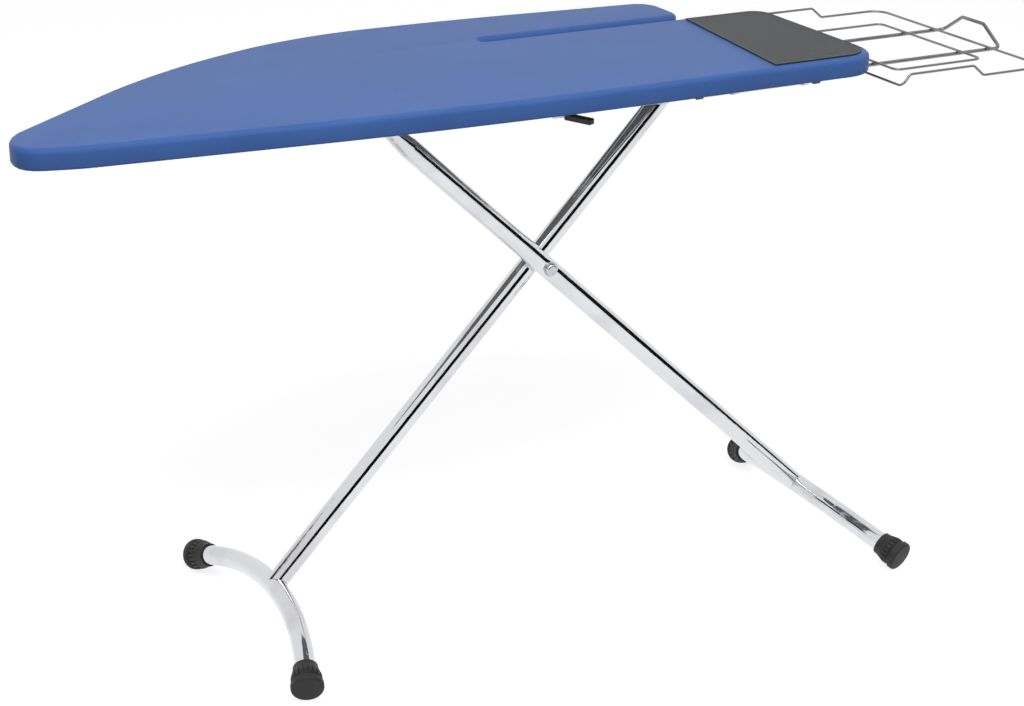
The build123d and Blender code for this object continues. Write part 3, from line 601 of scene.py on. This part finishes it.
# %% Cut and bind the pad
binding = woven("pad_binding", colour(52, 55, 58), colour(66, 69, 72), 0.0012, (9, 9, 1), 0.2, 0.05)
pad = board_sheet("iron_pad", cloth_top + 0.0004)
strip = 0.012
far_point = Vector((end_x - 0.155 - strip, line_y + 0.174))
near_point = Vector((end_x - 0.195 - strip, line_y - 0.174))
cut_line(far_point, near_point, True)
cut_line(Vector((end_x, line_y + 0.185)), Vector((end_x - 1, line_y + 0.185)), True)
bpy.ops.mesh.select_all(action="SELECT")
bpy.ops.mesh.inset(thickness=strip)
keep_largest(pad, False)
bpy.ops.object.mode_set(mode="EDIT")
bpy.ops.mesh.delete(type="FACE")
print("cut pad:", len(pad.data.polygons))
bpy.ops.mesh.select_all(action="SELECT")
bpy.ops.mesh.extrude_region_move(TRANSFORM_OT_translate={"value": (0, 0, 0.0020)})
bpy.ops.mesh.inset(thickness=0.007)
bpy.ops.mesh.select_all(action="SELECT")
bpy.ops.mesh.normals_make_consistent(inside=False)
middle = keep_largest(pad, True)
for face in pad.data.polygons:
    face.material_index = 0 if face.index == middle else 1
for i in set(pad.data.polygons[middle].vertices):
    pad.data.vertices[i].co.z -= 0.0006
pad.data.materials.append(pad_cloth)
pad.data.materials.append(binding)
bpy.ops.object.mode_set(mode="EDIT")
bpy.ops.mesh.select_all(action="SELECT")
bpy.ops.uv.cube_project(cube_size=1.0)
leave(pad)
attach(pad, "board")
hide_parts("iron_rest_pad")
print("pad faces:", len(pad.data.polygons))

# %% [markdown]
# ## The studio
# The board stands on a white floor in an even white room. The floor and the room look white to the
# camera and in reflections, whatever light falls on them, while the floor still takes the shadow.

# %% A floor that is white to the eye and keeps its shadow
def white_to_the_eye(tree):
    """1 for rays from the camera, from glossy and from clear surfaces, and 0 for light itself."""
    rays = tree.nodes.new("ShaderNodeLightPath").outputs
    names = ("Is Camera Ray", "Is Glossy Ray", "Is Transmission Ray")
    camera_ray, glossy, clear = (Signal(tree, rays[name]) for name in names)
    return camera_ray.math("MAXIMUM", glossy).math("MAXIMUM", clear)


bpy.ops.mesh.primitive_plane_add(size=24, location=(0, 0, 0))
floor = bpy.context.object
floor.name = "studio_floor"
floor_paint, tree, shader = new_material("floor_paint")
shader.inputs["Base Color"].default_value = (0.5, 0.5, 0.5, 1)
shader.inputs["Roughness"].default_value = 1.0
shader.inputs["Specular IOR Level"].default_value = 0.0
shader.inputs["Emission Color"].default_value = (1, 1, 1, 1)
lift = white_to_the_eye(tree) * 0.82
plug(tree, lift, shader.inputs["Emission Strength"])
floor.data.materials.append(floor_paint)

world = bpy.data.worlds.new("studio_world")
bpy.context.scene.world = world
world.use_nodes = True
tree = world.node_tree
sky = tree.nodes["Background"]
seen = white_to_the_eye(tree)
plug(tree, seen * 0.7 + 0.3, sky.inputs["Strength"])
sky.inputs["Color"].default_value = (1, 1, 1, 1)
print("floor and room are white")

# %% [markdown]
# One long soft box hangs over and in front of the board. It lights the top most and the side less, which
# is what makes the board look thick, and its length keeps the shadows on the floor soft.

# %% Lamps
def soft_box(name, place, aim, size, power):
    """A rectangular lamp at place that points at aim."""
    bpy.ops.object.light_add(type="AREA", location=place)
    lamp = bpy.context.object
    lamp.name = name
    lamp.data.shape = "RECTANGLE"
    lamp.data.size, lamp.data.size_y = size
    lamp.data.energy = power
    lamp.rotation_euler = (Vector(aim) - Vector(place)).to_track_quat("-Z", "Y").to_euler()
    return lamp


soft_box("top_light", (-0.5, -1.7, 3.1), (0, 0, 0.7), (3.0, 1.0), 50)

# %% [markdown]
# Chrome in an all-white room would look like white paint. Dark curtains behind the camera and at its
# sides, which only reflections can see, draw the dark bands that run along the tubes.

# %% Dark curtains for the reflections
def dark_card(name, place, size, turn_z, grey):
    """An upright card that only reflections can see."""
    bpy.ops.mesh.primitive_plane_add(size=1, location=place, rotation=(math.pi / 2, 0, turn_z))
    card = bpy.context.object
    card.name = name
    card.scale = (size[0], size[1], 1)
    paint, _, shader = new_material(name + "_paint")
    shader.inputs["Base Color"].default_value = (grey, grey, grey, 1)
    shader.inputs["Specular IOR Level"].default_value = 0.0
    card.data.materials.append(paint)
    card.visible_camera = card.visible_diffuse = card.visible_shadow = card.visible_transmission = False
    return card


dark_card("front_curtain", (2.2, -5.0, 1.25), (11.0, 2.3), 0.0, 0.012)
dark_card("right_curtain", (6.2, -3.4, 1.1), (6.0, 2.0), math.radians(54), 0.03)
dark_card("left_curtain", (-4.6, 1.6, 2.6), (3.0, 1.6), math.radians(80), 0.05)
print("curtains hung")
